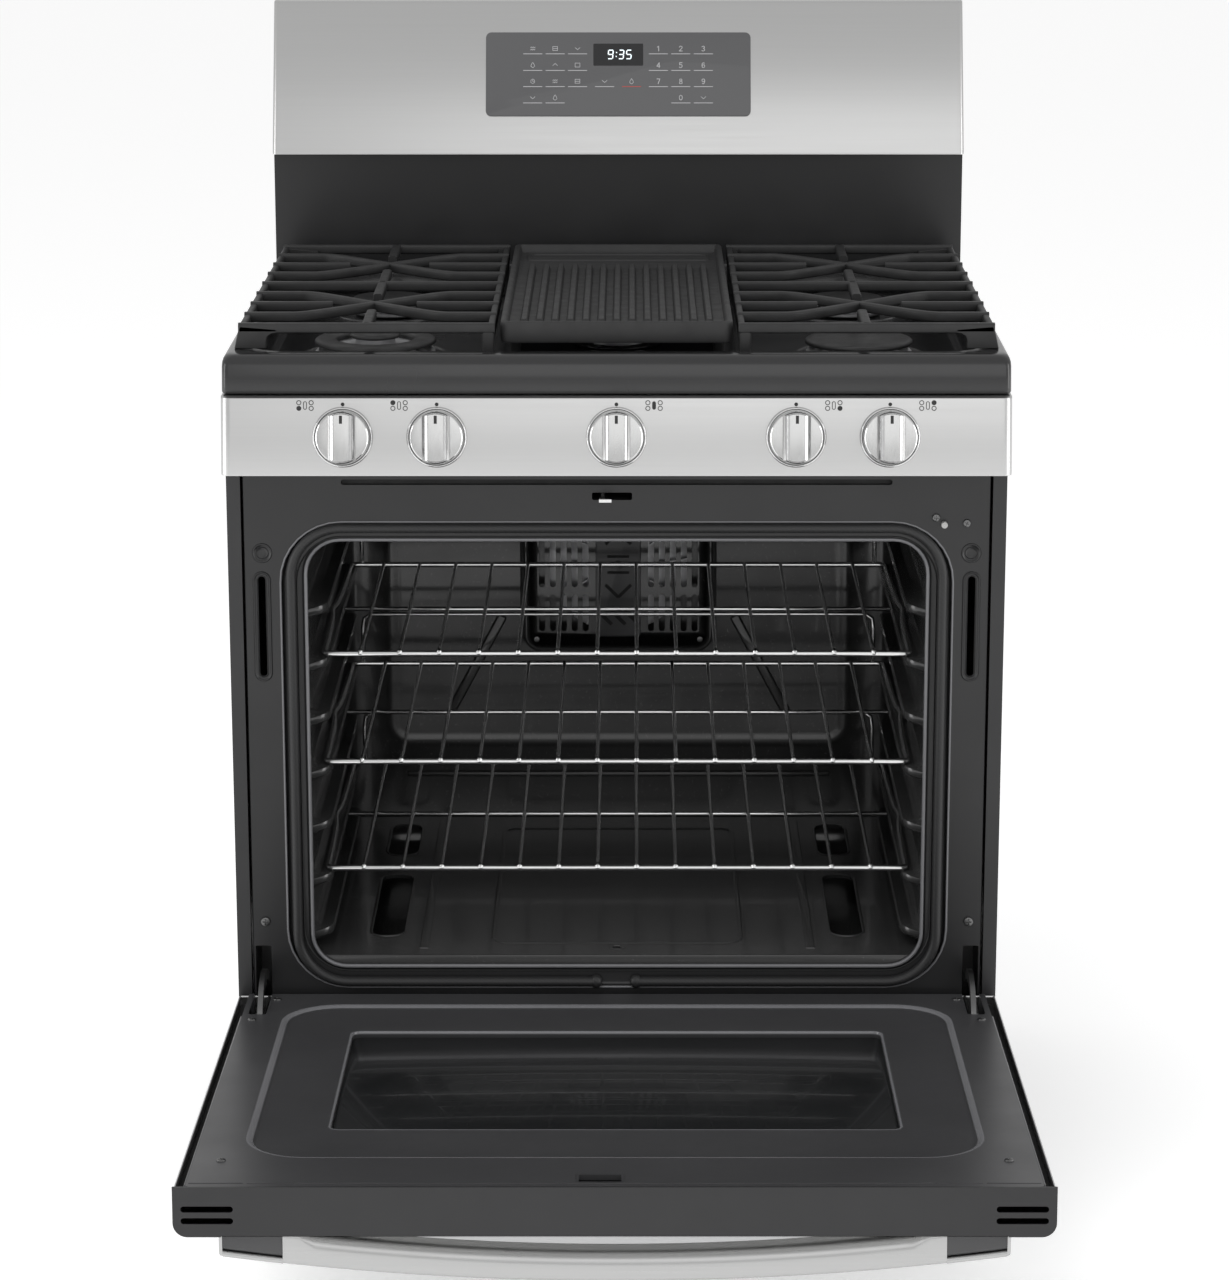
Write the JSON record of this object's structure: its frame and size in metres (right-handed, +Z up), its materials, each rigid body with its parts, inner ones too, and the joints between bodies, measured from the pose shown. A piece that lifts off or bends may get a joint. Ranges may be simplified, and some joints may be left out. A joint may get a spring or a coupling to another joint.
{
  "type": "freestanding gas range",
  "caption": "Freestanding gas range with five burners, griddle, backguard controls, open oven door, sliding racks and a storage drawer.",
  "frame": {"origin": "on the floor, at the middle of the space the range takes up with its oven door open", "axes": "+X to the right for a person facing the range, +Y back towards the wall, +Z up"},
  "size_m": [0.759, 1.2105, 1.2],
  "materials": {
    "side_enamel": "satin black enamel",
    "galvanised": "dull zinc coated sheet",
    "black_enamel": "semi-gloss black porcelain enamel",
    "oven_enamel": "glossy black porcelain enamel with fine speckle",
    "dark_metal": "black oxide",
    "burner_steel": "dull aluminised steel",
    "insulation": "glass fibre blanket",
    "lamp_glass": "clear glass",
    "bright_steel": "bright zinc plate",
    "gasket": "black woven glass fibre",
    "brushed_steel": "horizontal brushed stainless steel",
    "pipe_metal": "dull cast and extruded aluminium",
    "burner_aluminium": "cast aluminium",
    "cap_enamel": "matte black enamel on cast iron",
    "ceramic": "glazed ceramic",
    "touch_glass": "dark grey glass, satin",
    "circuit_board": "green laminate",
    "dark_screws": "black screws",
    "dark_glass": "black tinted glass",
    "window_glass": "tinted heat glass",
    "trim_black": "satin black",
    "bracket_grey": "satin dark grey",
    "rack_chrome": "nickel chrome plated wire",
    "cast_iron": "matte black enamelled cast iron",
    "griddle_iron": "matte black enamelled cast iron",
    "knob_steel": "satin and polished stainless look",
    "spindle_brass": "brass",
    "switch_plastic": "white plastic"
  },
  "bodies": {
    "range_body": {"side_panel_left": "side_enamel", "side_panel_right": "side_enamel", "rear_panel": "galvanised", "base_chassis": "galvanised", "front_frame": "black_enamel", "oven_liner": "oven_enamel", "oven_floor": "oven_enamel", "fan_cover": "oven_enamel", "fan_motor": "dark_metal", "bake_burner": "burner_steel", "broil_burner": "burner_steel", "oven_insulation": "insulation", "oven_lamp": "lamp_glass", "temp_probe": "bright_steel", "door_gasket": "gasket", "cooktop": "black_enamel", "control_panel": "brushed_steel", "gas_manifold": "pipe_metal", "burner_bases": "burner_aluminium", "burner_caps": "cap_enamel", "spark_electrodes": "ceramic", "backguard_riser": "black_enamel", "backguard_head": "brushed_steel", "touch_panel": "touch_glass", "control_board": "circuit_board", "hinge_receivers": "galvanised", "lock_motor": "dark_metal", "gas_regulator": "pipe_metal", "levelling_legs": "dark_metal", "chassis_screws": "dark_screws"},
    "oven_door": {"door_skin": "brushed_steel", "door_outer_glass": "dark_glass", "door_liner": "black_enamel", "door_window": "window_glass", "door_vent_trim": "trim_black", "door_handle": "brushed_steel", "handle_brackets": "bracket_grey", "hinge_arms": "bright_steel", "door_screws": "bright_steel"},
    "storage_drawer": {"drawer_front": "brushed_steel", "drawer_box": "galvanised"},
    "rack_top": {"rack_top": "rack_chrome"},
    "rack_middle": {"rack_middle": "rack_chrome"},
    "rack_bottom": {"rack_bottom": "rack_chrome"},
    "grate_left": {"grate_left": "cast_iron"},
    "grate_right": {"grate_right": "cast_iron"},
    "griddle": {"griddle": "griddle_iron"},
    "fan_blade": {"fan_blade": "burner_steel"},
    "lock_hook": {"lock_hook": "bright_steel"},
    "door_switch": {"door_switch": "switch_plastic"},
    "knob_1": {"knob_1": "knob_steel"},
    "knob_2": {"knob_2": "knob_steel"},
    "knob_3": {"knob_3": "knob_steel"},
    "knob_4": {"knob_4": "knob_steel"},
    "knob_5": {"knob_5": "knob_steel"},
    "spindle_1": {"spindle_1": "spindle_brass"},
    "spindle_2": {"spindle_2": "spindle_brass"},
    "spindle_3": {"spindle_3": "spindle_brass"},
    "spindle_4": {"spindle_4": "spindle_brass"},
    "spindle_5": {"spindle_5": "spindle_brass"}
  },
  "joints": [
    {"name": "door_hinge", "type": "hinge", "parent": "range_body", "child": "oven_door", "pos_m": [0, -0.058, 0.249], "axis": [-1, 0, 0], "range_deg": [0, 87]},
    {"name": "rack_top_slide", "type": "slide", "parent": "range_body", "child": "rack_top", "axis": [0, 1, 0], "range_m": [-0.25, 0]},
    {"name": "rack_middle_slide", "type": "slide", "parent": "range_body", "child": "rack_middle", "axis": [0, 1, 0], "range_m": [-0.25, 0]},
    {"name": "rack_bottom_slide", "type": "slide", "parent": "range_body", "child": "rack_bottom", "axis": [0, 1, 0], "range_m": [-0.25, 0]},
    {"name": "drawer_slide", "type": "slide", "parent": "range_body", "child": "storage_drawer", "axis": [0, 1, 0], "range_m": [-0.4, 0]},
    {"name": "knob_1_push", "type": "slide", "parent": "range_body", "child": "spindle_1", "axis": [0, 0.9849, -0.173], "range_m": [0, 0.003], "stiffness_N_per_m": 1500, "springref_m": -0.003},
    {"name": "knob_1_turn", "type": "hinge", "parent": "spindle_1", "child": "knob_1", "pos_m": [-0.262, -0.0725, 0.844], "axis": [0, -0.9849, 0.173], "range_deg": [0, 230]},
    {"name": "knob_2_push", "type": "slide", "parent": "range_body", "child": "spindle_2", "axis": [0, 0.9849, -0.173], "range_m": [0, 0.003], "stiffness_N_per_m": 1500, "springref_m": -0.003},
    {"name": "knob_2_turn", "type": "hinge", "parent": "spindle_2", "child": "knob_2", "pos_m": [-0.172, -0.0725, 0.844], "axis": [0, -0.9849, 0.173], "range_deg": [0, 230]},
    {"name": "knob_3_push", "type": "slide", "parent": "range_body", "child": "spindle_3", "axis": [0, 0.9849, -0.173], "range_m": [0, 0.003], "stiffness_N_per_m": 1500, "springref_m": -0.003},
    {"name": "knob_3_turn", "type": "hinge", "parent": "spindle_3", "child": "knob_3", "pos_m": [0, -0.0725, 0.844], "axis": [0, -0.9849, 0.173], "range_deg": [0, 230]},
    {"name": "knob_4_push", "type": "slide", "parent": "range_body", "child": "spindle_4", "axis": [0, 0.9849, -0.173], "range_m": [0, 0.003], "stiffness_N_per_m": 1500, "springref_m": -0.003},
    {"name": "knob_4_turn", "type": "hinge", "parent": "spindle_4", "child": "knob_4", "pos_m": [0.172, -0.0725, 0.844], "axis": [0, -0.9849, 0.173], "range_deg": [0, 230]},
    {"name": "knob_5_push", "type": "slide", "parent": "range_body", "child": "spindle_5", "axis": [0, 0.9849, -0.173], "range_m": [0, 0.003], "stiffness_N_per_m": 1500, "springref_m": -0.003},
    {"name": "knob_5_turn", "type": "hinge", "parent": "spindle_5", "child": "knob_5", "pos_m": [0.262, -0.0725, 0.844], "axis": [0, -0.9849, 0.173], "range_deg": [0, 230]},
    {"name": "grate_left_lift", "type": "slide", "parent": "range_body", "child": "grate_left", "axis": [0, 0, 1], "range_m": [0, 0.06]},
    {"name": "grate_right_lift", "type": "slide", "parent": "range_body", "child": "grate_right", "axis": [0, 0, 1], "range_m": [0, 0.06]},
    {"name": "griddle_lift", "type": "slide", "parent": "range_body", "child": "griddle", "axis": [0, 0, 1], "range_m": [0, 0.06]},
    {"name": "fan_spin", "type": "hinge", "parent": "range_body", "child": "fan_blade", "pos_m": [0, 0.438, 0.6], "axis": [0, 1, 0], "continuous": true},
    {"name": "lock_swing", "type": "hinge", "parent": "range_body", "child": "lock_hook", "pos_m": [-0.014, 0.002, 0.776], "axis": [0, 0, 1], "range_deg": [0, 20]},
    {"name": "switch_press", "type": "slide", "parent": "range_body", "child": "door_switch", "axis": [0, 1, 0], "range_m": [0, 0.005], "stiffness_N_per_m": 150, "springref_m": -0.003}
  ]
}
